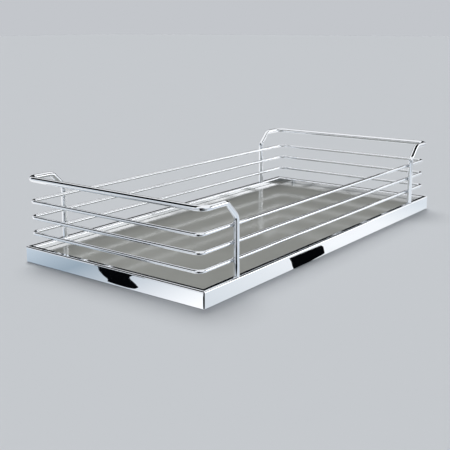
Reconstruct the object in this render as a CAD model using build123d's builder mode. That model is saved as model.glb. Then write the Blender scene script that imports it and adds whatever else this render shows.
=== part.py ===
"""Gallery tray of a corner pull-out unit.

A mitred frame of flat tube carries a laminated board. Two hoops of heavy wire stand on the frame's
long sides, and three closed loops of thin wire are welded to the inner side of their posts.

Millimetres, +X along the tray, +Z up. The origin is the centre of the underside, on the surface
that the tray stands on.
"""

from build123d import *
import os

# Outline of the tray
tray_length = 500.0
tray_width = 250.0

# Flat tube of the frame
frame_height = 18.0
frame_thickness = 7.0
frame_wall = 1.0
frame_edge_radius = 2.0
frame_corner_radius = 1.5
vent_diameter = 2.5
vent_from_corner = 16.0

# Board: a core between a decor film and a backing film, closed by edge bands
board_below_rim = 6.0
board_thickness = 8.0
board_clearance = 0.3
film_thickness = 0.6
backing_thickness = 0.4
band_thickness = 0.8
band_edge_radius = 0.4

# Bearers across the frame, under the board
bearer_width = 15.0
bearer_thickness = 2.0
bearer_pitch = 160.0

# Screws through the bearers into the board
screw_diameter = 3.5
screw_clearance = 0.4
screw_head_diameter = 7.0
screw_head_height = 1.6
screw_head_rim = 0.5
screw_length = 8.0
screw_point_length = 1.5
screw_recess_span = 4.0
screw_recess_slot = 0.9
screw_recess_depth = 1.2
screw_from_centre = 104.0

# Clinch nuts in the outer bearers, where the tray is bolted to its carrying arms
nut_bore = 4.2
nut_spigot_diameter = 6.4
nut_body_diameter = 9.0
nut_body_height = 4.0
nut_pocket_clearance = 0.5
fixing_pitch = 160.0

# End hoops of heavy wire
hoop_wire = 6.0
post_from_end = 54.0
post_rise = 59.0
hoop_rise = 75.0
hoop_lower_bend = 10.0
hoop_upper_bend = 8.0
hoop_corner_bend = 11.0
foot_weld = 0.4

# Gallery loops of thin wire
rail_wire = 4.0
rail_first_rise = 15.5
rail_spacing = 17.5
rail_corner_bend = 8.0
rail_set_down = 1.0
weld_diameter = 5.2

# Both wires stand this far inside the frame's end faces
end_set_back = 1.5

# Places worked out from the sizes above
half_length = tray_length / 2
half_width = tray_width / 2
board_top = frame_height - board_below_rim
board_bottom = board_top - board_thickness
bearer_bottom = board_bottom - bearer_thickness
opening_length = tray_length - 2 * frame_thickness
opening_width = tray_width - 2 * frame_thickness
board_length = opening_length - 2 * board_clearance
board_width = opening_width - 2 * board_clearance
core_length = board_length - 2 * band_thickness
core_width = board_width - 2 * band_thickness
post_x = half_length - post_from_end
post_y = half_width - frame_thickness / 2
hoop_end_x = half_length - end_set_back - hoop_wire / 2
rail_x = half_length - end_set_back - rail_wire / 2
rail_y = post_y - (hoop_wire + rail_wire) / 2 + rail_set_down
hoop_z = frame_height + hoop_rise
rail_heights = {
    "rail_lower": frame_height + rail_first_rise,
    "rail_middle": frame_height + rail_first_rise + rail_spacing,
    "rail_upper": frame_height + rail_first_rise + 2 * rail_spacing,
}
bearer_places = {"bearer_left": -bearer_pitch, "bearer_middle": 0.0, "bearer_right": bearer_pitch}
screw_places = [(x, y) for x in bearer_places.values() for y in (-screw_from_centre, screw_from_centre)]
nut_places = [(x, y) for x in (-bearer_pitch, bearer_pitch) for y in (-fixing_pitch / 2, fixing_pitch / 2)]
post_places = [(x, y) for x in (-post_x, post_x) for y in (-post_y, post_y)]


def save(builder, label):
    """Labels a finished piece and writes its own file."""
    builder.part.label = label
    export_step(builder.part, f"parts/{label}.step")


def make_frame_member(turn, run, offset):
    """One mitred length of tube: run is its outer length, offset its outer face from the centre."""
    side = Plane.XY.rotated((0, 0, turn))
    outer_face = side.from_local_coords((0, -offset, 0))
    with BuildPart() as member:
        with BuildSketch(Plane(origin=outer_face, x_dir=side.y_dir, z_dir=side.x_dir)):
            with Locations((frame_thickness / 2, frame_height / 2)):
                RectangleRounded(frame_thickness, frame_height, frame_edge_radius)
                RectangleRounded(
                    frame_thickness - 2 * frame_wall,
                    frame_height - 2 * frame_wall,
                    frame_edge_radius - frame_wall,
                    mode=Mode.SUBTRACT,
                )
        extrude(amount=run / 2, both=True)
        for end in (-1, 1):
            corner = side.from_local_coords((end * run / 2, -offset, 0))
            away = side.x_dir * end + side.y_dir
            split(bisect_by=Plane(origin=corner, z_dir=away), keep=Keep.BOTTOM)
        with BuildSketch(Plane.XY):
            RectangleRounded(tray_length, tray_width, frame_corner_radius)
        extrude(amount=frame_height, mode=Mode.INTERSECT)
        with BuildSketch(side):
            with Locations((0, frame_thickness / 2 - offset)):
                with GridLocations(run - 2 * vent_from_corner, 0, 2, 1):
                    Circle(vent_diameter / 2)
        extrude(amount=frame_wall, mode=Mode.SUBTRACT)
    return member


def make_hoop(end):
    """End hoop: two posts, sloping shoulders that lean outwards, and the leg across the end.

    The posts and the weld metal round their feet are shaped to the rounded edges of the frame tube.
    """
    foot_z = frame_height - frame_edge_radius
    shoulder = hoop_rise - post_rise
    shoulder_x = end * (post_x + shoulder)
    half_path = [
        (end * post_x, -post_y, foot_z),
        (end * post_x, -post_y, frame_height + post_rise),
        (shoulder_x, -post_y, hoop_z),
        (end * hoop_end_x, -post_y, hoop_z),
    ]
    other_half = [(x, -y, z) for x, y, z in reversed(half_path)]
    bends = [hoop_lower_bend, hoop_upper_bend, hoop_corner_bend]
    with BuildPart() as hoop:
        with BuildLine() as path:
            FilletPolyline(*half_path, *other_half, radius=bends + bends[::-1])
        with BuildSketch(Plane(origin=path.line @ 0, z_dir=path.line % 0)):
            Circle(hoop_wire / 2)
        sweep()
        for y in (-post_y, post_y):
            with BuildSketch(Plane(origin=(end * post_x, y, 0), x_dir=(1, 0, 0), z_dir=(0, -1, 0))):
                with BuildLine():
                    collar = Polyline(
                        (0, frame_height + foot_weld),
                        (0, foot_z),
                        (hoop_wire / 2 + foot_weld, foot_z),
                        (hoop_wire / 2 + foot_weld, frame_height),
                    )
                    hollow = RadiusArc(
                        collar @ 1,
                        (hoop_wire / 2, frame_height + foot_weld),
                        foot_weld,
                    )
                    Line(hollow @ 1, collar @ 0)
                make_face()
            revolve(axis=Axis((end * post_x, y, 0), (0, 0, 1)))
            with BuildSketch(Plane(origin=(end * post_x, y, 0), x_dir=(0, 1, 0), z_dir=(1, 0, 0))):
                with Locations((0, frame_height / 2)):
                    RectangleRounded(frame_thickness, frame_height, frame_edge_radius)
            extrude(amount=hoop_wire, both=True, mode=Mode.SUBTRACT)
    return hoop


def make_rail(height):
    """Closed loop of thin wire, with weld metal and a seat at each of the four posts."""
    corners = [(-rail_x, -rail_y), (rail_x, -rail_y), (rail_x, rail_y), (-rail_x, rail_y)]
    weld_length = post_y - rail_y
    with BuildPart() as rail:
        with BuildLine() as path:
            FilletPolyline(*[(x, y, height) for x, y in corners], radius=rail_corner_bend, close=True)
        with BuildSketch(Plane(origin=path.line @ 0, z_dir=path.line % 0)):
            Circle(rail_wire / 2)
        sweep()
        for x, y in post_places:
            outward = 1 if y > 0 else -1
            with BuildSketch(Plane(origin=(x, outward * rail_y, height), z_dir=(0, outward, 0))):
                Circle(weld_diameter / 2)
            extrude(amount=weld_length)
        with Locations(*[(x, y, height) for x, y in post_places]):
            Cylinder(hoop_wire / 2, 2 * rail_spacing, mode=Mode.SUBTRACT)
    return rail


def make_board_layer(bottom, thickness):
    """A layer of the board, drilled for the screws and cleared for the nuts where they reach it."""
    top = bottom + thickness
    with BuildPart() as layer:
        with BuildSketch(Plane.XY.offset(bottom)):
            Rectangle(core_length, core_width)
        extrude(amount=thickness)
        screw_top = bearer_bottom + screw_length
        if bottom < screw_top:
            with BuildSketch(Plane.XY.offset(bottom)):
                with Locations(*screw_places):
                    Circle(screw_diameter / 2)
            extrude(amount=min(top, screw_top) - bottom, mode=Mode.SUBTRACT)
        pocket_top = board_bottom + nut_body_height + nut_pocket_clearance
        if bottom < pocket_top:
            with BuildSketch(Plane.XY.offset(bottom)):
                with Locations(*nut_places):
                    Circle(nut_body_diameter / 2 + nut_pocket_clearance)
            extrude(amount=min(top, pocket_top) - bottom, mode=Mode.SUBTRACT)
    return layer


def make_edge_band(turn, run, offset):
    """Strip glued to one edge of the board: its long outer edges are eased."""
    side = Plane.XY.rotated((0, 0, turn))
    outer_face = side.from_local_coords((0, -offset, 0))
    with BuildPart() as band:
        with BuildSketch(Plane(origin=outer_face, x_dir=side.y_dir, z_dir=side.x_dir)):
            with Locations((band_thickness / 2, board_bottom + board_thickness / 2)):
                strip = Rectangle(band_thickness, board_thickness)
            fillet(strip.vertices().group_by(Axis.X)[0], band_edge_radius)
        extrude(amount=run / 2, both=True)
    return band


def make_bearer(x):
    """Flat bar across the frame, with screw holes and, away from the middle, holes for the nuts."""
    with BuildPart() as bearer:
        with BuildSketch(Plane.XY.offset(bearer_bottom)):
            with Locations((x, 0)):
                Rectangle(bearer_width, opening_width)
            with Locations(*[place for place in screw_places if place[0] == x]):
                Circle((screw_diameter + screw_clearance) / 2, mode=Mode.SUBTRACT)
            nuts_here = [place for place in nut_places if place[0] == x]
            if nuts_here:
                with Locations(*nuts_here):
                    Circle(nut_spigot_diameter / 2, mode=Mode.SUBTRACT)
        extrude(amount=bearer_thickness)
    return bearer


def make_screws():
    """Pan head screws with a cross recess, turned about their axis, heads down."""
    tip = bearer_bottom + screw_length
    crown_rise = screw_head_height - screw_head_rim
    crown_radius = ((screw_head_diameter / 2) ** 2 + crown_rise**2) / (2 * crown_rise)
    with BuildPart() as screws:
        for x, y in screw_places:
            with BuildSketch(Plane(origin=(x, y, 0), x_dir=(1, 0, 0), z_dir=(0, -1, 0))):
                with BuildLine():
                    crown = RadiusArc(
                        (0, bearer_bottom - screw_head_height),
                        (screw_head_diameter / 2, bearer_bottom - screw_head_rim),
                        -crown_radius,
                    )
                    Polyline(
                        crown @ 1,
                        (screw_head_diameter / 2, bearer_bottom),
                        (screw_diameter / 2, bearer_bottom),
                        (screw_diameter / 2, tip - screw_point_length),
                        (0, tip),
                        crown @ 0,
                    )
                make_face()
            revolve(axis=Axis((x, y, 0), (0, 0, 1)))
        with BuildSketch(Plane.XY.offset(bearer_bottom - screw_head_height)):
            with Locations(*screw_places):
                Rectangle(screw_recess_span, screw_recess_slot)
                Rectangle(screw_recess_slot, screw_recess_span)
        extrude(amount=screw_recess_depth, mode=Mode.SUBTRACT)
    return screws


def make_nuts():
    """Clinch nuts: a spigot pressed into the bearer and a round body above it."""
    with BuildPart() as nuts:
        with BuildSketch(Plane.XY.offset(bearer_bottom)):
            with Locations(*nut_places):
                Circle(nut_spigot_diameter / 2)
                Circle(nut_bore / 2, mode=Mode.SUBTRACT)
        extrude(amount=bearer_thickness)
        with BuildSketch(Plane.XY.offset(board_bottom)):
            with Locations(*nut_places):
                Circle(nut_body_diameter / 2)
                Circle(nut_bore / 2, mode=Mode.SUBTRACT)
        extrude(amount=nut_body_height)
    return nuts


def main():
    os.makedirs("parts", exist_ok=True)

    sides = {
        "front": (0, tray_length, half_width),
        "right": (90, tray_width, half_length),
        "rear": (180, tray_length, half_width),
        "left": (270, tray_width, half_length),
    }
    for name, (turn, run, offset) in sides.items():
        save(make_frame_member(turn, run, offset), f"frame_{name}")

    # The long bands cover the ends of the short ones
    band_runs = {"front": board_length, "right": core_width, "rear": board_length, "left": core_width}
    for name, (turn, _, offset) in sides.items():
        band_offset = offset - frame_thickness - board_clearance
        save(make_edge_band(turn, band_runs[name], band_offset), f"edge_band_{name}")

    core_bottom = board_bottom + backing_thickness
    core_thickness = board_thickness - film_thickness - backing_thickness
    save(make_board_layer(board_bottom, backing_thickness), "board_backing")
    save(make_board_layer(core_bottom, core_thickness), "board_core")
    save(make_board_layer(board_top - film_thickness, film_thickness), "board_top_film")

    for name, x in bearer_places.items():
        save(make_bearer(x), name)
    save(make_screws(), "board_screws")
    save(make_nuts(), "fixing_nuts")

    save(make_hoop(-1), "hoop_left")
    save(make_hoop(1), "hoop_right")
    for name, height in rail_heights.items():
        save(make_rail(height), name)


main()
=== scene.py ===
"""Looks of the chromed gallery tray: finishes, weld metal, threads, studio and camera."""

import logging
import math
from dataclasses import dataclass, field
from enum import Enum
from functools import partial
from typing import Callable, Iterable, Sequence

import bmesh
import bpy
from mathutils import Matrix, Vector, noise


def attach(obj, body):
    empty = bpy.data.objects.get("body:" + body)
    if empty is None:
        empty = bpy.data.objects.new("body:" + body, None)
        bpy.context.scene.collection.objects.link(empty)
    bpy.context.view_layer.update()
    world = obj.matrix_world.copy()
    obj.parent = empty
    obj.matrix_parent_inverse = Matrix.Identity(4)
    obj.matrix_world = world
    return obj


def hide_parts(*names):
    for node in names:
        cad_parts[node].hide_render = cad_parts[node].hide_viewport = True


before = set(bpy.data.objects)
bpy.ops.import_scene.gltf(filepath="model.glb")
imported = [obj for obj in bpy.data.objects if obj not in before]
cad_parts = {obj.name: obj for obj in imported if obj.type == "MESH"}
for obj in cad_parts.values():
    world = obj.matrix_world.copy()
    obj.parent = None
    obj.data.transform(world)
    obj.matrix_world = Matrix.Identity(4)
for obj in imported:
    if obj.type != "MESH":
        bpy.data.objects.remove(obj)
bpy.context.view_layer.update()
log = logging.getLogger("tray")

MM = 0.001
UP = (0.0, 0.0, 1.0)
# Most of a noise texture's values lie between these two, so its two tones are set there
NOISE_LOW, NOISE_HIGH = 0.3, 0.7
# Millimetres: the bearers' distance and lower face, and a length that is as good as none
BEARER_PITCH = 160.0
BEARER_BOTTOM = 2.0
TINY = 0.001

Placing = Callable[[Vector], Vector]


def linear(hex_code: str) -> tuple[float, float, float, float]:
    """Turns an sRGB hex colour into linear values with an alpha of 1.

    Args:
        hex_code: six hex digits, with or without a leading hash.

    Returns:
        Linear red, green, blue and alpha.
    """
    digits = hex_code.lstrip("#")
    channels = [int(digits[i:i + 2], 16) / 255 for i in (0, 2, 4)]
    flat = [c / 12.92 if c <= 0.04045 else ((c + 0.055) / 1.055) ** 2.4 for c in channels]
    return (*flat, 1.0)


def add_node(
    tree: bpy.types.NodeTree,
    kind: str,
    settings: dict[str, object] | None = None,
    values: dict[str | int, object] | None = None,
    links: dict[str | int, bpy.types.NodeSocket] | None = None,
    stops: Sequence[tuple[float, str]] = (),
) -> bpy.types.Node:
    """Adds one node with its settings, socket values, incoming links and colour stops.

    Args:
        tree: the node tree that gets the node.
        kind: the node's type name, without the ShaderNode prefix.
        settings: attributes to set on the node itself.
        values: input sockets and their values.
        links: input sockets and the output sockets that feed them.
        stops: on a colour ramp, positions from 0 to 1, each with an sRGB hex colour.

    Returns:
        The new node.
    """
    node = tree.nodes.new("ShaderNode" + kind)
    for name, value in (settings or {}).items():
        setattr(node, name, value)
    for socket, value in (values or {}).items():
        node.inputs[socket].default_value = value
    for socket, source in (links or {}).items():
        tree.links.new(source, node.inputs[socket])
    if stops:
        elements = node.color_ramp.elements
        while len(elements) < len(stops):
            elements.new(1.0)
        for element, (position, colour) in zip(elements, stops):
            element.position = position
            element.color = linear(colour)
    return node


def new_tree(name: str) -> tuple[bpy.types.Material, bpy.types.NodeTree]:
    """Makes an empty node material.

    Args:
        name: the material's name.

    Returns:
        The material and its node tree.
    """
    material = bpy.data.materials.new(name)
    material.use_nodes = True
    material.node_tree.nodes.clear()
    return material, material.node_tree


def cell_scale(size_mm: float) -> float:
    """Gives the texture scale at which one cell measures size_mm on Object coordinates in metres."""
    return 1.0 / (size_mm * MM)


@dataclass(frozen=True)
class ChromePlate:
    """Bright chrome over nickel on drawn steel, buffed before plating.

    The eye gets a cool mirror. Drawing and buffing leave a very slight waviness along the metal, and
    fingers and polish leave patches that are a little less sharp.
    """

    name: str = "bright_chrome_plate"
    colour: str = "#EFF2F6"
    roughness: float = 0.035
    wave_mm: float = 26.0
    wave_height_mm: float = 0.004
    haze_mm: float = 9.0
    haze_span: tuple[float, float] = (0.35, 0.75)
    haze_gain: float = 1.9

    def material(self) -> bpy.types.Material:
        """Builds the finish.

        Returns:
            The new material.
        """
        material, tree = new_tree(self.name)
        place = add_node(tree, "TexCoord")
        wave = add_node(
            tree, "TexNoise",
            values={"Scale": cell_scale(self.wave_mm), "Detail": 1.0, "Roughness": 0.4},
            links={"Vector": place.outputs["Object"]},
        )
        bump = add_node(
            tree, "Bump",
            values={"Strength": 1.0, "Distance": self.wave_height_mm * MM},
            links={"Height": wave.outputs["Fac"]},
        )
        haze = add_node(
            tree, "TexNoise",
            values={"Scale": cell_scale(self.haze_mm), "Detail": 3.0, "Roughness": 0.6},
            links={"Vector": place.outputs["Object"]},
        )
        gloss = add_node(
            tree, "MapRange",
            values={
                "From Min": self.haze_span[0], "From Max": self.haze_span[1],
                "To Min": self.roughness, "To Max": self.roughness * self.haze_gain,
            },
            links={"Value": haze.outputs["Fac"]},
        )
        surface = add_node(
            tree, "BsdfPrincipled",
            values={"Base Color": linear(self.colour), "Metallic": 1.0},
            links={"Roughness": gloss.outputs["Result"], "Normal": bump.outputs["Normal"]},
        )
        add_node(tree, "OutputMaterial", links={"Surface": surface.outputs["BSDF"]})
        return material


@dataclass(frozen=True)
class PlatedWeld:
    """Weld metal under chrome: rippled, never buffed, so it mirrors softly; its tones are darkened as
    painted shade at the joints.
    """

    name: str = "weld_metal_with_painted_shade"
    # The dark and light tones are painted shade, darker than the chrome, for the shaded notches where
    # wires meet; the feet and seams use the same tones
    dark: str = "#5C6066"
    light: str = "#8D9298"
    roughness: float = 0.3
    ripple_mm: float = 0.9
    ripple_height_mm: float = 0.05

    def material(self) -> bpy.types.Material:
        """Builds the finish.

        Returns:
            The new material.
        """
        material, tree = new_tree(self.name)
        place = add_node(tree, "TexCoord")
        ripple = add_node(
            tree, "TexNoise",
            values={"Scale": cell_scale(self.ripple_mm), "Detail": 2.0, "Roughness": 0.5},
            links={"Vector": place.outputs["Object"]},
        )
        tint = add_node(
            tree, "ValToRGB", links={"Fac": ripple.outputs["Fac"]},
            stops=[(NOISE_LOW, self.dark), (NOISE_HIGH, self.light)],
        )
        bump = add_node(
            tree, "Bump",
            values={"Strength": 0.6, "Distance": self.ripple_height_mm * MM},
            links={"Height": ripple.outputs["Fac"]},
        )
        surface = add_node(
            tree, "BsdfPrincipled",
            values={"Metallic": 1.0, "Roughness": self.roughness},
            links={"Base Color": tint.outputs["Color"], "Normal": bump.outputs["Normal"]},
        )
        add_node(tree, "OutputMaterial", links={"Surface": surface.outputs["BSDF"]})
        return material


@dataclass(frozen=True)
class MelamineDecor:
    """Printed grey melamine paper pressed on board: even, satin, with a fine pressed grain.

    The grain is really about 0.2 mm, and is drawn coarser so that it shows.
    """

    name: str = "grey_melamine_decor"
    dark: str = "#9E9F9A"
    light: str = "#A7A8A3"
    roughness: float = 0.09
    specular: float = 0.42
    sheen_spread: float = 0.15
    grain_mm: float = 0.7
    grain_depth_mm: float = 0.012
    cloud_mm: float = 70.0

    def material(self) -> bpy.types.Material:
        """Builds the finish.

        Returns:
            The new material.
        """
        material, tree = new_tree(self.name)
        place = add_node(tree, "TexCoord")
        cloud = add_node(
            tree, "TexNoise",
            values={"Scale": cell_scale(self.cloud_mm), "Detail": 3.0, "Roughness": 0.55},
            links={"Vector": place.outputs["Object"]},
        )
        tone = add_node(
            tree, "ValToRGB", links={"Fac": cloud.outputs["Fac"]},
            stops=[(NOISE_LOW, self.dark), (NOISE_HIGH, self.light)],
        )
        grain = add_node(
            tree, "TexNoise",
            values={"Scale": cell_scale(self.grain_mm), "Detail": 2.0, "Roughness": 0.6},
            links={"Vector": place.outputs["Object"]},
        )
        bump = add_node(
            tree, "Bump",
            values={"Strength": 0.25, "Distance": self.grain_depth_mm * MM},
            links={"Height": grain.outputs["Fac"]},
        )
        gloss = add_node(
            tree, "MapRange",
            values={
                "To Min": self.roughness * (1.0 - self.sheen_spread),
                "To Max": self.roughness * (1.0 + self.sheen_spread),
            },
            links={"Value": grain.outputs["Fac"]},
        )
        surface = add_node(
            tree, "BsdfPrincipled",
            values={"Specular IOR Level": self.specular, "IOR": 1.5},
            links={
                "Base Color": tone.outputs["Color"],
                "Roughness": gloss.outputs["Result"],
                "Normal": bump.outputs["Normal"],
            },
        )
        add_node(tree, "OutputMaterial", links={"Surface": surface.outputs["BSDF"]})
        return material


@dataclass(frozen=True)
class ExtrudedAbs:
    """Extruded ABS edge band, matched to the decor: fine die lines under a satin face.

    The lines run along the band, drawn out by the stretch.
    """

    name: str = "grey_abs_edge_band"
    dark: str = "#5E605C"
    light: str = "#6A6C68"
    roughness: float = 0.42
    line_mm: float = 0.8
    stretch: float = 0.02

    def material(self) -> bpy.types.Material:
        """Builds the finish.

        Returns:
            The new material.
        """
        material, tree = new_tree(self.name)
        place = add_node(tree, "TexCoord")
        squeeze = add_node(
            tree, "Mapping",
            values={"Scale": (self.stretch, self.stretch, 1.0)},
            links={"Vector": place.outputs["Object"]},
        )
        lines = add_node(
            tree, "TexNoise",
            values={"Scale": cell_scale(self.line_mm), "Detail": 1.0},
            links={"Vector": squeeze.outputs["Vector"]},
        )
        tone = add_node(
            tree, "ValToRGB", links={"Fac": lines.outputs["Fac"]},
            stops=[(NOISE_LOW, self.dark), (NOISE_HIGH, self.light)],
        )
        surface = add_node(
            tree, "BsdfPrincipled",
            values={"Roughness": self.roughness, "IOR": 1.54},
            links={"Base Color": tone.outputs["Color"]},
        )
        add_node(tree, "OutputMaterial", links={"Surface": surface.outputs["BSDF"]})
        return material


@dataclass(frozen=True)
class BalancingFilm:
    """Plain grey melamine backing paper: matt, slightly mottled where the board shows through."""

    name: str = "grey_balancing_film"
    dark: str = "#6D6E6B"
    light: str = "#7B7C79"
    roughness: float = 0.55
    mottle_mm: float = 6.0

    def material(self) -> bpy.types.Material:
        """Builds the finish.

        Returns:
            The new material.
        """
        material, tree = new_tree(self.name)
        place = add_node(tree, "TexCoord")
        mottle = add_node(
            tree, "TexNoise",
            values={"Scale": cell_scale(self.mottle_mm), "Detail": 4.0, "Roughness": 0.65},
            links={"Vector": place.outputs["Object"]},
        )
        tone = add_node(
            tree, "ValToRGB", links={"Fac": mottle.outputs["Fac"]},
            stops=[(NOISE_LOW, self.dark), (NOISE_HIGH, self.light)],
        )
        surface = add_node(
            tree, "BsdfPrincipled",
            values={"Roughness": self.roughness},
            links={"Base Color": tone.outputs["Color"]},
        )
        add_node(tree, "OutputMaterial", links={"Surface": surface.outputs["BSDF"]})
        return material


@dataclass(frozen=True)
class ParticleBoard:
    """Resin bonded wood chips, pressed flat: straw and brown flecks a few millimetres long."""

    name: str = "particle_board"
    chip_mm: float = 2.5
    chip_depth_mm: float = 0.1
    chip_tones: tuple[tuple[float, str], ...] = ((0.0, "#C9A876"), (0.5, "#A98556"), (1.0, "#6E5233"))
    roughness: float = 0.85

    def material(self) -> bpy.types.Material:
        """Builds the finish.

        Returns:
            The new material.
        """
        material, tree = new_tree(self.name)
        place = add_node(tree, "TexCoord")
        chips = add_node(
            tree, "TexVoronoi",
            values={"Scale": cell_scale(self.chip_mm)},
            links={"Vector": place.outputs["Object"]},
        )
        tone = add_node(
            tree, "ValToRGB", links={"Fac": chips.outputs["Distance"]}, stops=self.chip_tones
        )
        bump = add_node(
            tree, "Bump",
            values={"Strength": 0.5, "Distance": self.chip_depth_mm * MM},
            links={"Height": chips.outputs["Distance"]},
        )
        surface = add_node(
            tree, "BsdfPrincipled",
            values={"Roughness": self.roughness},
            links={"Base Color": tone.outputs["Color"], "Normal": bump.outputs["Normal"]},
        )
        add_node(tree, "OutputMaterial", links={"Surface": surface.outputs["BSDF"]})
        return material


@dataclass(frozen=True)
class BrightZinc:
    """Bright zinc on cold headed steel: bluish grey, with softer patches from the tumbling drum."""

    name: str = "bright_zinc_plate"
    dark: str = "#9AA0A8"
    light: str = "#C6CBD0"
    roughness: float = 0.28
    patch_mm: float = 1.6

    def material(self) -> bpy.types.Material:
        """Builds the finish.

        Returns:
            The new material.
        """
        material, tree = new_tree(self.name)
        place = add_node(tree, "TexCoord")
        patch = add_node(
            tree, "TexNoise",
            values={"Scale": cell_scale(self.patch_mm), "Detail": 3.0},
            links={"Vector": place.outputs["Object"]},
        )
        tone = add_node(
            tree, "ValToRGB", links={"Fac": patch.outputs["Fac"]},
            stops=[(NOISE_LOW, self.dark), (NOISE_HIGH, self.light)],
        )
        surface = add_node(
            tree, "BsdfPrincipled",
            values={"Metallic": 1.0, "Roughness": self.roughness},
            links={"Base Color": tone.outputs["Color"]},
        )
        add_node(tree, "OutputMaterial", links={"Surface": surface.outputs["BSDF"]})
        return material


class Slot(Enum):
    """The record's material slots."""

    CHROME = "chrome"
    DECOR = "decor"
    CORE = "core"
    BACKING = "backing"
    BAND = "band"
    FASTENER = "fastener"


class Side(Enum):
    """The four sides of the tray."""

    FRONT = "front"
    REAR = "rear"
    LEFT = "left"
    RIGHT = "right"


class ToneAxis(Enum):
    """The axis along which a card's tones change."""

    ALONG = "X"
    ACROSS = "Y"


def coat(nodes: Iterable[str], material: bpy.types.Material) -> None:
    """Gives CAD nodes a finish.

    Args:
        nodes: names of the CAD nodes.
        material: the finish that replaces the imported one.
    """
    for name in nodes:
        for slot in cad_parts[name].material_slots:
            slot.material = material
        log.info("dressed %s as %s", name, material.name)


def finish_piece(
    shape: bmesh.types.BMesh, name: str, material: bpy.types.Material, smooth: bool = True
) -> bpy.types.Object:
    """Turns a bmesh into a piece that rides on the tray.

    Args:
        shape: the mesh, in metres and in the tray's frame. It is freed.
        name: name of the piece.
        material: its finish.
        smooth: whether its faces are shaded as one rounded surface.

    Returns:
        The new object.
    """
    bmesh.ops.remove_doubles(shape, verts=shape.verts, dist=2 * TINY * MM)
    bmesh.ops.recalc_face_normals(shape, faces=shape.faces)
    for face in shape.faces:
        face.smooth = smooth
    mesh = bpy.data.meshes.new(name)
    shape.to_mesh(mesh)
    shape.free()
    mesh.materials.append(material)
    piece = bpy.data.objects.new(name, mesh)
    bpy.context.scene.collection.objects.link(piece)
    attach(piece, "root")
    log.info("built %s, %d faces", name, len(mesh.polygons))
    return piece


def place_new(shape: bmesh.types.BMesh, known: int, place: Placing) -> None:
    """Moves the newest vertices of a mesh from their own millimetres to the tray's frame in metres.

    Args:
        shape: the mesh that they belong to.
        known: how many vertices it had before they were made.
        place: gives the tray's coordinates, in millimetres, of a point of the new shape.
    """
    shape.verts.ensure_lookup_table()
    for vert in shape.verts[known:]:
        vert.co = place(vert.co.copy()) * MM


@dataclass(frozen=True)
class RingBead:
    """Ring of weld metal squeezed out round a joint, in millimetres."""

    ring_radius: float
    bead_radius: float
    steps_around: int = 28
    steps_across: int = 10
    lump_pitch: float = 1.3
    lump_height: float = 0.16

    def add(self, shape: bmesh.types.BMesh, place: Placing) -> None:
        """Adds one ring round its own Z axis, then sets it in its place.

        Args:
            shape: the mesh that gets the ring.
            place: gives the tray's coordinates of a point of the ring.
        """
        known = len(shape.verts)
        section = bmesh.ops.create_circle(
            shape, radius=self.bead_radius, segments=self.steps_across
        )["verts"]
        upright = Matrix.Rotation(math.pi / 2, 3, "X")
        bmesh.ops.rotate(shape, verts=section, cent=(0, 0, 0), matrix=upright)
        bmesh.ops.translate(shape, verts=section, vec=(self.ring_radius, 0, 0))
        edges = list({edge for vert in section for edge in vert.link_edges})
        bmesh.ops.spin(
            shape, geom=edges, cent=(0, 0, 0), axis=(0, 0, 1), angle=2 * math.pi,
            steps=self.steps_around, use_merge=True,
        )
        place_new(shape, known, lambda point: self.lumpy(place, point))

    def lumpy(self, place: Placing, point: Vector) -> Vector:
        """Swells the bead here and there, as metal that froze where it ran.

        Args:
            place: gives the tray's coordinates of a point of the ring.
            point: a point of the even ring.

        Returns:
            The point in the tray's frame.
        """
        line = Vector((point.x, point.y, 0.0)).normalized() * self.ring_radius
        where = place(line)
        swell = 1.0 + self.lump_height / self.bead_radius * noise.noise(where / self.lump_pitch)
        return place(line + (point - line) * swell)


@dataclass(frozen=True)
class SeamBead:
    """Straight weld seam with the scales of a moved arc, in millimetres."""

    length: float = 13.0
    bead_radius: float = 0.95
    scale_pitch: float = 1.25
    scale_depth: float = 0.16
    end_width: float = 0.2
    steps_along: int = 52
    steps_across: int = 12

    def add(self, shape: bmesh.types.BMesh, centre: Vector) -> None:
        """Adds one seam along X.

        Args:
            shape: the mesh that gets the seam.
            centre: the middle of the seam, in the tray's frame.
        """
        known = len(shape.verts)
        turn = Matrix.Rotation(math.pi / 2, 4, "Y")
        bmesh.ops.create_cone(
            shape, cap_ends=True, segments=self.steps_across, radius1=self.bead_radius,
            radius2=self.bead_radius, depth=self.length, matrix=turn,
        )
        shape.verts.ensure_lookup_table()
        long_edges = [
            edge for edge in {edge for vert in shape.verts[known:] for edge in vert.link_edges}
            if abs(edge.verts[0].co.x - edge.verts[1].co.x) > self.length / 2
        ]
        bmesh.ops.subdivide_edges(shape, edges=long_edges, cuts=self.steps_along)
        place_new(shape, known, lambda point: centre + self.scaled(point))

    def scaled(self, point: Vector) -> Vector:
        """Draws the section in between two scales and rounds it off at the seam's ends.

        Args:
            point: a point of the even bar, in the seam's own millimetres.

        Returns:
            The point on the finished seam.
        """
        along = abs(point.x) / (self.length / 2)
        scale = 1.0 - self.scale_depth * abs(math.sin(math.pi * point.x / self.scale_pitch))
        end = math.sqrt(max(1.0 - along**8, self.end_width**2))
        return Vector((point.x, point.y * scale * end, point.z * scale * end))


@dataclass
class TubeFrame:
    """Mitred frame of four flat tubes."""

    sides: tuple[Side, ...] = tuple(Side)

    def dress(self, plate: ChromePlate) -> None:
        """Plates the four tubes."""
        coat([f"frame_{side.value}" for side in self.sides], plate.material())


@dataclass
class LaminatedBoard:
    """Board between the tubes, with its films and edge bands."""

    banded_sides: tuple[Side, ...] = tuple(Side)

    def dress(
        self, decor: MelamineDecor, backing: BalancingFilm, band: ExtrudedAbs, core: ParticleBoard
    ) -> None:
        """Gives each layer its finish.

        Args:
            decor: finish of the upper film.
            backing: finish of the lower film.
            band: finish of the edge bands.
            core: finish of the board in between.
        """
        coat(["board_top_film"], decor.material())
        coat(["board_backing"], backing.material())
        coat(["board_core"], core.material())
        coat([f"edge_band_{side.value}" for side in self.banded_sides], band.material())


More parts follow.
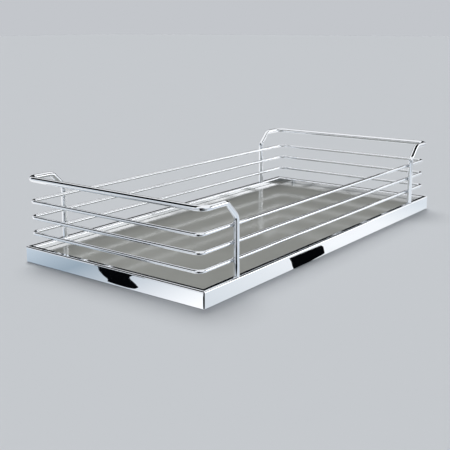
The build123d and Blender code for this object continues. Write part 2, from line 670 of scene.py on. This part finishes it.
@dataclass
class Gallery:
    """The hoops and rails of the gallery, with the weld metal where they meet, in millimetres."""

    post_x: float = 196.0
    post_y: float = 121.5
    post_radius: float = 3.0
    tube_half: float = 3.5
    tube_edge: float = 2.0
    ledge_z: float = 18.0
    rails: dict[str, float] = field(
        default_factory=lambda: {"lower": 33.5, "middle": 51.0, "upper": 68.5}
    )
    crossing_bead: RingBead = RingBead(2.35, 0.62)
    foot_bead: RingBead = RingBead(2.95, 0.42)

    def posts(self) -> list[tuple[float, float]]:
        """Gives the places of the four posts."""
        return [(x, y) for x in (-self.post_x, self.post_x) for y in (-self.post_y, self.post_y)]

    def on_post(self, post: tuple[float, float], height: float, point: Vector) -> Vector:
        """Wraps a ring's point on the inner side of a post.

        Args:
            post: the post's place.
            height: height of the rail that crosses there.
            point: a point of the ring, whose Z axis points away from the tray.

        Returns:
            The point in the tray's frame.
        """
        outward = math.copysign(1.0, post[1])
        across = point.x / max(math.hypot(point.x, point.y), TINY) * self.crossing_bead.ring_radius
        seat = self.post_y - math.sqrt(self.post_radius**2 - across**2)
        return Vector((post[0] + point.x, outward * (seat + point.z), height + point.y))

    def on_ledge(self, post: tuple[float, float], point: Vector) -> Vector:
        """Wraps a ring's point over the tube's rounded upper edges, at the foot of a post.

        Args:
            post: the post's place.
            point: a point of the ring, whose Z axis points up.

        Returns:
            The point in the tray's frame.
        """
        across = abs(point.y) / max(math.hypot(point.x, point.y), TINY) * self.foot_bead.ring_radius
        past_flat = max(across - (self.tube_half - self.tube_edge), 0.0)
        drop = self.tube_edge - math.sqrt(self.tube_edge**2 - past_flat**2)
        return Vector((post[0] + point.x, post[1] + point.y, self.ledge_z - drop + point.z))

    def weld(self, metal: bpy.types.Material) -> None:
        """Puts weld metal at every crossing and round every foot.

        Args:
            metal: finish of the beads.
        """
        for name, height in self.rails.items():
            shape = bmesh.new()
            for post in self.posts():
                self.crossing_bead.add(shape, partial(self.on_post, post, height))
            finish_piece(shape, f"rail_{name}_welds", metal)
        shape = bmesh.new()
        for post in self.posts():
            self.foot_bead.add(shape, partial(self.on_ledge, post))
        finish_piece(shape, "post_foot_welds", metal)

    def dress(self, plate: ChromePlate) -> None:
        """Plates the wires."""
        coat(["hoop_left", "hoop_right"] + [f"rail_{name}" for name in self.rails], plate.material())


@dataclass
class ClinchNuts:
    """Threaded nuts pressed into the outer bearers, in millimetres."""

    place_x: float = BEARER_PITCH
    place_y: float = 80.0
    bottom: float = BEARER_BOTTOM
    shoulder: float = 4.0
    top: float = 8.0
    spigot_radius: float = 3.2
    body_radius: float = 4.5
    thread_root: float = 2.5
    thread_crest: float = 2.1
    pitch: float = 0.8
    flank_share: float = 0.44
    crest_share: float = 0.06
    bite: float = 0.03
    edge_break: float = 0.3
    steps_per_turn: int = 32

    def add_body(self, shape: bmesh.types.BMesh, place: Vector) -> None:
        """Spins the nut's profile, with its edges broken, round its bore.

        Args:
            shape: the mesh that gets the nut.
            place: the nut's axis, in the tray's frame.
        """
        cut = self.edge_break
        profile = [
            (self.thread_root + cut, self.bottom), (self.spigot_radius, self.bottom),
            (self.spigot_radius, self.shoulder), (self.body_radius, self.shoulder),
            (self.body_radius, self.top - cut), (self.body_radius - cut, self.top),
            (self.thread_root + cut, self.top), (self.thread_root, self.top - cut),
            (self.thread_root, self.bottom + cut),
        ]
        known = len(shape.verts)
        verts = [shape.verts.new((radius, 0.0, z)) for radius, z in profile]
        edges = [shape.edges.new(pair) for pair in zip(verts, verts[1:] + verts[:1])]
        bmesh.ops.spin(
            shape, geom=edges, cent=(0, 0, 0), axis=(0, 0, 1), angle=2 * math.pi,
            steps=self.steps_per_turn, use_merge=True,
        )
        place_new(shape, known, lambda point: point + place)

    def add_thread(self, shape: bmesh.types.BMesh, place: Vector) -> None:
        """Winds the ridge of the thread up the bore.

        Its section's heights are shares of the pitch, and its root bites a little into the wall.

        Args:
            shape: the mesh that gets the thread.
            place: the nut's axis, in the tray's frame.
        """
        known = len(shape.verts)
        start = self.bottom + self.edge_break + self.pitch / 2
        rise = self.top - self.bottom - 2 * self.edge_break - self.pitch
        steps = int(rise / self.pitch * self.steps_per_turn)
        root, crest = self.thread_root + self.bite, self.thread_crest
        section = [
            (root, -self.flank_share), (crest, -self.crest_share),
            (crest, self.crest_share), (root, self.flank_share),
        ]
        verts = [shape.verts.new((radius, 0.0, start + share * self.pitch)) for radius, share in section]
        ridge = shape.faces.new(verts)
        bmesh.ops.spin(
            shape, geom=[ridge, *ridge.edges, *verts], cent=(0, 0, 0), axis=(0, 0, 1),
            dvec=(0, 0, self.pitch / self.steps_per_turn),
            angle=2 * math.pi * steps / self.steps_per_turn, steps=steps, use_merge=False,
        )
        place_new(shape, known, lambda point: point + place)

    def build(self, zinc: bpy.types.Material) -> None:
        """Builds the four nuts in place of their plain solids.

        Args:
            zinc: the nuts' finish.
        """
        shape = bmesh.new()
        for x in (-self.place_x, self.place_x):
            for y in (-self.place_y, self.place_y):
                self.add_body(shape, Vector((x, y, 0.0)))
                self.add_thread(shape, Vector((x, y, 0.0)))
        nuts = finish_piece(shape, "threaded_nuts", zinc, smooth=False)
        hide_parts("fixing_nuts")


@dataclass
class Underside:
    """Bearers, screws and nuts under the board, in millimetres."""

    bearer_pitch: float = BEARER_PITCH
    bearer_bottom: float = BEARER_BOTTOM
    bearer_end_y: float = 118.0
    seam_drop: float = 0.1
    seam: SeamBead = SeamBead()
    nuts: ClinchNuts = field(default_factory=ClinchNuts)

    def weld(self, metal: bpy.types.Material) -> None:
        """Runs a seam across both ends of every bearer, in the hollow beside the tube's round edge.

        Args:
            metal: finish of the seams.
        """
        shape = bmesh.new()
        height = self.bearer_bottom - self.seam_drop
        for x in (-self.bearer_pitch, 0.0, self.bearer_pitch):
            for side in (-1.0, 1.0):
                self.seam.add(shape, Vector((x, side * self.bearer_end_y, height)))
        finish_piece(shape, "bearer_end_welds", metal)

    def dress(self, plate: ChromePlate, zinc: BrightZinc) -> None:
        """Finishes the bearers and their fasteners.

        Args:
            plate: finish of the bearers.
            zinc: finish of the screws and the nuts.
        """
        coat([f"bearer_{place}" for place in ("left", "middle", "right")], plate.material())
        plated = zinc.material()
        coat(["board_screws"], plated)
        self.nuts.build(plated)


@dataclass
class PhotoCamera:
    """The camera that took the photograph, fitted to the tray's corners and wires.

    Its place and clip distances are in metres, its angles in degrees, its lens and sensor in
    millimetres.
    """

    place: tuple[float, float, float] = (-0.7773, -0.5507, 0.2554)
    turn: float = -52.71
    dip: float = 10.86
    roll: float = -0.18
    lens: float = 62.85
    sensor_width: float = 36.0
    shift_y: float = -0.1111
    clip_start: float = 0.02
    clip_end: float = 60.0

    def build(self) -> bpy.types.Object:
        """Adds the camera and makes it the scene's own.

        Returns:
            The camera's object.
        """
        data = bpy.data.cameras.new("photo_camera")
        data.lens = self.lens
        data.sensor_width = self.sensor_width
        data.shift_y = self.shift_y
        data.clip_start = self.clip_start
        data.clip_end = self.clip_end
        camera = bpy.data.objects.new("photo_camera", data)
        turn = Matrix.Rotation(math.radians(self.turn), 4, "Z")
        dip = Matrix.Rotation(math.radians(90.0 - self.dip), 4, "X")
        roll = Matrix.Rotation(math.radians(self.roll), 4, "Z")
        camera.matrix_world = Matrix.Translation(self.place) @ turn @ dip @ roll
        bpy.context.scene.collection.objects.link(camera)
        bpy.context.scene.camera = camera
        return camera


@dataclass(frozen=True)
class SkyCone:
    """A round patch of the sky, by the direction of its middle.

    Its reach is the cosine of its half angle, and its edge is soft over the given width of cosine.
    """

    aim: tuple[float, float, float]
    reach: float
    soft: float

    def show(
        self, tree: bpy.types.NodeTree, ray: bpy.types.NodeSocket,
        inside: bpy.types.NodeSocket, outside: bpy.types.NodeSocket,
    ) -> bpy.types.NodeSocket:
        """Shows one glow inside the patch and another outside it.

        Args:
            tree: the world's node tree.
            ray: direction of the ray.
            inside: glow of the patch.
            outside: glow of the sky around it.

        Returns:
            The glow of both together.
        """
        nearness = add_node(
            tree, "VectorMath",
            settings={"operation": "DOT_PRODUCT"},
            values={1: Vector(self.aim).normalized()},
            links={0: ray},
        )
        mask = add_node(
            tree, "MapRange",
            settings={"interpolation_type": "SMOOTHSTEP"},
            values={"From Min": self.reach - self.soft / 2, "From Max": self.reach + self.soft / 2},
            links={"Value": nearness.outputs["Value"]},
        )
        both = add_node(tree, "MixShader", links={0: mask.outputs["Result"], 1: outside, 2: inside})
        return both.outputs["Shader"]


@dataclass(frozen=True)
class SkyMirror:
    """What chrome mirrors of the studio.

    A bright ceiling hangs over the tray. Low down stand pale walls, bluer towards its left end, with
    a dark backdrop behind the far corner. A softbox shines from the front, low on the right, out of
    a room that is dark above it, and a weaker one from the left. It is dark round the camera as well.
    """

    wall_left: str = "#D8E0E8"
    wall_right: str = "#F1F4F7"
    wall_turn: float = 0.8
    white: str = "#FFFFFF"
    dark: str = "#0C1014"
    softbox_strength: float = 2.7
    side_box_strength: float = 1.15
    softbox: SkyCone = SkyCone((0.69, -0.67, 0.25), 0.955, 0.06)
    side_box: SkyCone = SkyCone((-0.865, 0.46, 0.20), 0.98, 0.03)
    room: SkyCone = SkyCone((0.60, -0.75, 0.30), 0.92, 0.05)
    over_walls: SkyCone = SkyCone(UP, 0.31, 0.06)
    over_backdrop: SkyCone = SkyCone(UP, 0.48, 0.06)
    backdrop: SkyCone = SkyCone((0.78, 0.62, 0.0), 0.80, 0.04)
    camera: SkyCone = SkyCone((-0.78, -0.60, 0.05), 0.93, 0.04)

    def build(self, tree: bpy.types.NodeTree) -> bpy.types.NodeSocket:
        """Builds the mirrored sky, patch over patch.

        Args:
            tree: the world's node tree.

        Returns:
            The sky's glow.
        """
        ray = add_node(tree, "TexCoord").outputs["Generated"]
        parts = add_node(tree, "SeparateXYZ", links={"Vector": ray})
        along = add_node(
            tree, "MapRange",
            values={"From Min": -self.wall_turn, "From Max": self.wall_turn},
            links={"Value": parts.outputs["X"]},
        )
        tone = add_node(
            tree, "ValToRGB", links={"Fac": along.outputs["Result"]},
            stops=[(0.0, self.wall_left), (1.0, self.wall_right)],
        )
        wall = add_node(tree, "Background", links={"Color": tone.outputs["Color"]}).outputs["Background"]
        lights = (
            (self.dark, 1.0), (self.white, 1.0),
            (self.white, self.softbox_strength), (self.white, self.side_box_strength),
        )
        dark, ceiling, softbox, side_box = (
            add_node(
                tree, "Background", values={"Color": linear(colour), "Strength": strength}
            ).outputs["Background"]
            for colour, strength in lights
        )
        lit = self.softbox.show(tree, ray, softbox, wall)
        lit = self.side_box.show(tree, ray, side_box, lit)
        above = self.room.show(tree, ray, dark, ceiling)
        walled = self.over_walls.show(tree, ray, above, lit)
        hung = self.over_backdrop.show(tree, ray, walled, dark)
        backed = self.backdrop.show(tree, ray, hung, walled)
        return self.camera.show(tree, ray, dark, backed)


BLACK_CARD = ((-1.0, "#050608"), (1.0, "#050608"))
WHITE_CARD = ((-1.0, "#FFFFFF"), (1.0, "#FFFFFF"))


def level(height: float, *points: tuple[float, float]) -> tuple[tuple[float, float, float], ...]:
    """Gives the corners of a card that lies or hangs level, in millimetres."""
    return tuple((x, y, height) for x, y in points)


@dataclass(frozen=True)
class MirrorCard:
    """A card that only shiny metal sees, as a photographer sets one up out of view.

    The corners are in millimetres. The tones follow one axis, each at its place along it.
    """

    name: str
    corners: tuple[tuple[float, float, float], ...]
    tones: tuple[tuple[float, str], ...] = BLACK_CARD
    axis: ToneAxis = ToneAxis.ALONG
    strength: float = 1.0
    corner_radius: float = 0.0

    def material(self) -> bpy.types.Material:
        """Builds the card's glow.

        Returns:
            The new material.
        """
        material, tree = new_tree(self.name + "_card")
        start, end = self.tones[0][0], self.tones[-1][0]
        place = add_node(tree, "TexCoord")
        parts = add_node(tree, "SeparateXYZ", links={"Vector": place.outputs["Object"]})
        along = add_node(
            tree, "MapRange",
            values={"From Min": start * MM, "From Max": end * MM},
            links={"Value": parts.outputs[self.axis.value]},
        )
        stops = [((place_mm - start) / (end - start), colour) for place_mm, colour in self.tones]
        tone = add_node(tree, "ValToRGB", links={"Fac": along.outputs["Result"]}, stops=stops)
        glow = add_node(
            tree, "Emission", values={"Strength": self.strength}, links={"Color": tone.outputs["Color"]}
        )
        add_node(tree, "OutputMaterial", links={"Surface": glow.outputs["Emission"]})
        return material

    def build(self) -> bpy.types.Object:
        """Cuts the card, rounds its corners and hides it from all but mirror reflections.

        Returns:
            The card's object.
        """
        shape = bmesh.new()
        verts = [shape.verts.new(Vector(corner) * MM) for corner in self.corners]
        shape.faces.new(verts)
        if self.corner_radius:
            bmesh.ops.bevel(
                shape, geom=shape.verts[:], offset=self.corner_radius * MM, offset_type="OFFSET",
                segments=6, profile=0.5, affect="VERTICES", material=-1,
            )
        mesh = bpy.data.meshes.new(self.name)
        shape.to_mesh(mesh)
        shape.free()
        mesh.materials.append(self.material())
        card = bpy.data.objects.new(self.name, mesh)
        bpy.context.scene.collection.objects.link(card)
        card.visible_camera = False
        card.visible_diffuse = False
        card.visible_shadow = False
        card.visible_transmission = False
        return card


@dataclass
class Studio:
    """Pale floor, soft light and the cards that give chrome its stripes."""

    floor_size: float = 30.0
    floor_drop_mm: float = 0.05
    floor_colour: str = "#CFD2D5"
    sky_colour: str = "#C3C6CB"
    soft_colour: str = "#F4F6FA"
    soft_strength: float = 0.42
    key_power: float = 1.75
    key_spread: float = 28.0
    key_aim: tuple[float, float, float] = (0.22, 0.30, 0.93)
    mirror: SkyMirror = SkyMirror()
    cards: tuple[MirrorCard, ...] = (
        # Pale strips on the floor, which the frame's two near faces mirror
        MirrorCard(
            "end_glow", level(0.2, (-249.4, -125), (-292, -102.5), (-292, 200), (-249.4, 200)),
            ((-110.0, "#FFFFFF"), (-28.0, "#D0D5DA"), (70.0, "#98A7B3"), (160.0, "#BFCBD5")),
            ToneAxis.ACROSS, 1.14,
        ),
        MirrorCard(
            "front_glow", level(0.25, (-250, -124.4), (-239, -175), (360, -175), (360, -124.4)),
            ((-240.0, "#DBE0E4"), (20.0, "#FCFDFE"), (130.0, "#FBFCFD"), (270.0, "#DFE5EA")),
            strength=1.08,
        ),
        # Flags on those strips, whose mirror images are the dark patches on the two faces
        MirrorCard(
            "end_flag",
            level(
                0.6, (-299, 66), (-286, 51), (-275, 38), (-265.5, 21), (-260, 9), (-254.6, 4),
                (-253.2, -10), (-252.8, -26), (-254.4, -34), (-260, -34), (-266.6, -23), (-273.3, -10),
                (-278, -4), (-284, -3), (-299, -9),
            ),
            corner_radius=1.0,
        ),
        MirrorCard("end_flag_stand", ((-299, 66, 0.6), (-299, -9, 0.6), (-299, -9, 26), (-299, 66, 26))),
        MirrorCard(
            "front_flag",
            level(
                0.45, (-68, -150.5), (-1.5, -149), (-4.5, -144), (-27, -129), (-44, -126.6), (-62, -124.4),
                (-99, -124.4), (-90.5, -132), (-77, -142),
            ),
            corner_radius=1.8,
        ),
        # Pale ground in front and white ground behind, for the posts and the undersides of the wires
        MirrorCard(
            "front_fill", level(0.3, (-228, -176), (-228, -430), (480, -430), (480, -176)),
            ((-228.0, "#D3DCE6"), (0.0, "#E4EAF0"), (480.0, "#F0F3F6")),
        ),
        MirrorCard(
            "far_ground",
            level(0.3, (-600, 190), (-600, 1400), (1500, 1400), (1500, -100), (290, -100), (290, 190)),
            WHITE_CARD,
        ),
        # Dark ground towards the camera, for the dark lines on the near corner and the near post
        MirrorCard(
            "camera_flag",
            level(
                0.3, (-250.6, -125.6), (-281, -109), (-290, -132), (-700, -300), (-1100, -480),
                (-900, -700), (-230, -208),
            ),
        ),
        # Panels hung high, for the dark lines along the wires and the frame's edge at end and front
        MirrorCard("end_panel", ((-517, -90, 220), (-517, 670, 220), (-219, 670, 393), (-219, -90, 393))),
        MirrorCard("front_panel", level(275, (60, -86), (480, -86), (730, -479), (230, -479))),
    )

    def floor(self) -> bpy.types.Object:
        """Lays the floor, a hair under the tray so that the two faces don't fight.

        Returns:
            The floor's object.
        """
        shape = bmesh.new()
        bmesh.ops.create_grid(shape, x_segments=2, y_segments=2, size=self.floor_size / 2)
        bmesh.ops.translate(shape, verts=shape.verts, vec=(0.0, 0.0, -self.floor_drop_mm * MM))
        mesh = bpy.data.meshes.new("studio_floor")
        shape.to_mesh(mesh)
        shape.free()
        material, tree = new_tree("pale_paper_floor")
        surface = add_node(
            tree, "BsdfPrincipled",
            values={"Base Color": linear(self.floor_colour), "Roughness": 0.9, "Specular IOR Level": 0.0},
        )
        add_node(tree, "OutputMaterial", links={"Surface": surface.outputs["BSDF"]})
        mesh.materials.append(material)
        floor = bpy.data.objects.new("studio_floor", mesh)
        bpy.context.scene.collection.objects.link(floor)
        return floor

    def sky(self) -> None:
        """Sets the soft light round the tray, and what chrome mirrors of it."""
        world = bpy.data.worlds.new("studio")
        bpy.context.scene.world = world
        world.use_nodes = True
        tree = world.node_tree
        tree.nodes.clear()
        shown = add_node(
            tree, "Background", values={"Color": linear(self.sky_colour), "Strength": 1.0}
        )
        soft = add_node(
            tree, "Background",
            values={"Color": linear(self.soft_colour), "Strength": self.soft_strength},
        )
        path = add_node(tree, "LightPath")
        first = add_node(
            tree, "MixShader",
            links={
                0: path.outputs["Is Glossy Ray"], 1: soft.outputs["Background"],
                2: self.mirror.build(tree),
            },
        )
        second = add_node(
            tree, "MixShader",
            links={
                0: path.outputs["Is Camera Ray"], 1: first.outputs["Shader"],
                2: shown.outputs["Background"],
            },
        )
        add_node(tree, "OutputWorld", links={"Surface": second.outputs["Shader"]})

    def key_lamp(self) -> None:
        """Hangs one large soft lamp high over the tray, a little behind it."""
        data = bpy.data.lights.new("soft_key", "SUN")
        data.energy = self.key_power
        data.angle = math.radians(self.key_spread)
        lamp = bpy.data.objects.new("soft_key", data)
        lamp.rotation_euler = Vector(self.key_aim).to_track_quat("Z", "Y").to_euler()
        lamp.visible_glossy = False
        bpy.context.scene.collection.objects.link(lamp)

    def build(self) -> None:
        """Sets up the whole studio."""
        self.floor()
        self.sky()
        self.key_lamp()
        for card in self.cards:
            card.build()
        bpy.context.scene.view_settings.view_transform = "Standard"


def main() -> None:
    """Builds the tray's looks, part by part."""
    logging.basicConfig(level=logging.INFO, format="%(name)s: %(message)s")
    PhotoCamera().build()
    shaded_weld_metal = PlatedWeld().material()
    TubeFrame().dress(ChromePlate())
    LaminatedBoard().dress(MelamineDecor(), BalancingFilm(), ExtrudedAbs(), ParticleBoard())
    gallery = Gallery()
    gallery.dress(ChromePlate(name="bright_chrome_wire", wave_height_mm=0.0008))
    gallery.weld(shaded_weld_metal)
    underside = Underside()
    underside.dress(ChromePlate(name="bright_chrome_bar"), BrightZinc())
    underside.weld(shaded_weld_metal)
    Studio().build()


if __name__ == "__main__":
    main()
